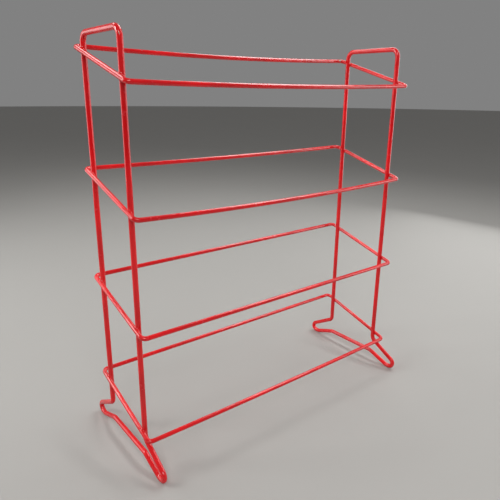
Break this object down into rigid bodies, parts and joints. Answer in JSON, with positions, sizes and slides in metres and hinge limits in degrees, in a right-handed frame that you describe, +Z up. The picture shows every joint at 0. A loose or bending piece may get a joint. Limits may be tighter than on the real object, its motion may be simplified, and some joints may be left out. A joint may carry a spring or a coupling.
{
  "type": "tiered wire rack",
  "caption": "Free-standing tiered wire rack: bent end frames with handles and spread feet carry sloping rectangular wire loops as open shelves.",
  "frame": {"origin": "on the floor, in the middle of the footprint of the feet", "axes": "+Z up; +Y towards the back, where every tier is highest; +X along the tiers, towards the right end frame"},
  "size_m": [0.405, 0.174, 0.462],
  "materials": {
    "end_frame_coating": "gloss red coated steel wire",
    "tier_loop_coating": "gloss red coated steel wire",
    "weld_coating": "gloss red coating run into the weld"
  },
  "bodies": {
    "root": {"left_end_frame": "end_frame_coating", "right_end_frame": "end_frame_coating", "bottom_tier_loop": "tier_loop_coating", "lower_tier_loop": "tier_loop_coating", "upper_tier_loop": "tier_loop_coating", "top_tier_loop": "tier_loop_coating", "bottom_weld_left_front": "weld_coating", "bottom_weld_left_back": "weld_coating", "bottom_weld_right_front": "weld_coating", "bottom_weld_right_back": "weld_coating", "lower_weld_left_front": "weld_coating", "lower_weld_left_back": "weld_coating", "lower_weld_right_front": "weld_coating", "lower_weld_right_back": "weld_coating", "upper_weld_left_front": "weld_coating", "upper_weld_left_back": "weld_coating", "upper_weld_right_front": "weld_coating", "upper_weld_right_back": "weld_coating", "top_weld_left_front": "weld_coating", "top_weld_left_back": "weld_coating", "top_weld_right_front": "weld_coating", "top_weld_right_back": "weld_coating"}
  },
  "joints": []
}
